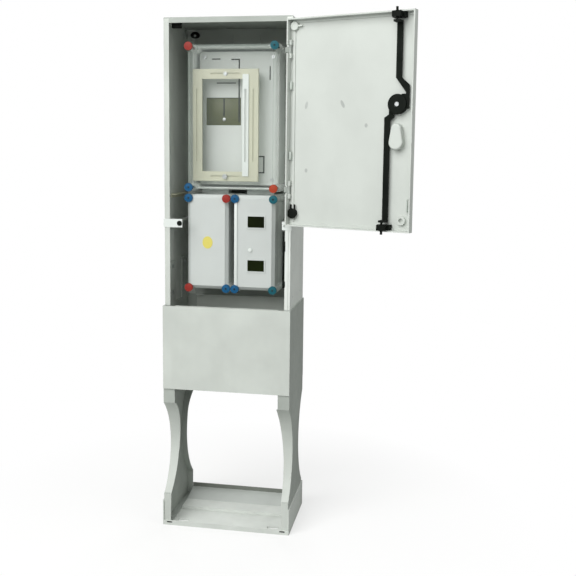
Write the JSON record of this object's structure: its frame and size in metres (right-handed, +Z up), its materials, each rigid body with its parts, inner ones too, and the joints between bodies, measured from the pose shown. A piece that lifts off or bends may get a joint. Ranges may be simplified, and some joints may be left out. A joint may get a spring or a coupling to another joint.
{
  "type": "electric meter box",
  "caption": "Free-standing electric meter cabinet on an hourglass pedestal, glazed meter box and lower boxes inside, tall hinged door with a rod lock.",
  "frame": {"origin": "centre of the underside of the base tray", "axes": "+X to the right seen from the front, the front looks to -Y, +Z up"},
  "size_m": [0.7788, 0.424, 1.608],
  "materials": {
    "light_moulding": "satin glass-fibre moulding",
    "white_plastic": "satin",
    "box_cover": "soft gloss",
    "clear_cover": "clear, a little hazy",
    "beige_plastic": "satin",
    "black_metal": "satin black coat",
    "black_plastic": "satin",
    "seal_foam": "matt foam",
    "zinc_steel": "zinc plated",
    "brass": "plain",
    "red_plastic": "soft gloss",
    "blue_plastic": "soft gloss"
  },
  "bodies": {
    "cabinet": {"base_tray": "light_moulding", "blue_cover_screws": "blue_plastic", "box_couplings": "white_plastic", "cable_grommets": "black_plastic", "cable_ledge": "beige_plastic", "cable_rail": "zinc_steel", "cable_saddles": "black_plastic", "corner_brackets": "white_plastic", "cover_seals": "seal_foam", "frame_screws": "zinc_steel", "hinge_pins": "zinc_steel", "left_box_base": "white_plastic", "left_box_cover": "box_cover", "left_leg": "light_moulding", "leg_screws": "zinc_steel", "lower_hinge_bracket": "white_plastic", "lower_left_side": "light_moulding", "lower_rear_wall": "light_moulding", "lower_right_side": "light_moulding", "meter_board": "white_plastic", "meter_box_base": "white_plastic", "meter_box_cover": "clear_cover", "meter_frame": "beige_plastic", "meter_slider": "white_plastic", "mounting_rails": "zinc_steel", "pedestal_front_panel": "light_moulding", "pedestal_rear_panel": "light_moulding", "rear_screws": "zinc_steel", "red_cover_screws": "red_plastic", "right_box_base": "white_plastic", "right_box_cover": "box_cover", "right_leg": "light_moulding", "roof": "light_moulding", "seam_bolts": "zinc_steel", "terminal_block": "beige_plastic", "terminal_screws": "brass", "top_hat_rails": "zinc_steel", "upper_hinge_bracket": "white_plastic", "upper_left_side": "light_moulding", "upper_rear_wall": "light_moulding", "upper_right_side": "light_moulding", "vent_plugs": "light_moulding"},
    "door": {"door": "light_moulding", "door_seal": "seal_foam", "lower_hinge_clip": "black_plastic", "upper_hinge_clip": "white_plastic", "handle_pocket": "white_plastic", "handle_plate": "black_plastic", "lock_case": "black_plastic", "lock_cover": "black_plastic", "upper_rod_guide": "black_metal", "lower_rod_guide": "black_metal"},
    "lock_hub": {"lock_gear": "zinc_steel", "handle_hub": "zinc_steel", "handle_pin": "zinc_steel"},
    "upper_rod": {"upper_rod": "black_metal"},
    "lower_rod": {"lower_rod": "black_metal"},
    "handle_lever": {"handle_lever": "black_plastic"}
  },
  "joints": [
    {"name": "door_hinge", "type": "hinge", "parent": "cabinet", "child": "door", "pos_m": [0.196, -0.135, 1.29], "axis": [0, 0, 1], "range_deg": [-160, 8]},
    {"name": "lock_turn", "type": "hinge", "parent": "door", "child": "lock_hub", "pos_m": [0.52207, -0.25368, 1.341], "axis": [0.342, 0.9397, 0], "range_deg": [0, 90]},
    {"name": "upper_rod_slide", "type": "slide", "parent": "door", "child": "upper_rod", "axis": [0, 0, -1], "range_m": [0, 0.01886]},
    {"name": "lower_rod_slide", "type": "slide", "parent": "door", "child": "lower_rod", "axis": [0, 0, 1], "range_m": [0, 0.01886]},
    {"name": "handle_lift", "type": "hinge", "parent": "lock_hub", "child": "handle_lever", "pos_m": [0.53073, -0.22991, 1.341], "axis": [0.9397, -0.342, 0], "range_deg": [0, 60]}
  ],
  "couplings": [
    {"joint": "upper_rod_slide", "follows": "lock_turn", "m_per_rad": 0.012},
    {"joint": "lower_rod_slide", "follows": "lock_turn", "m_per_rad": 0.012}
  ]
}
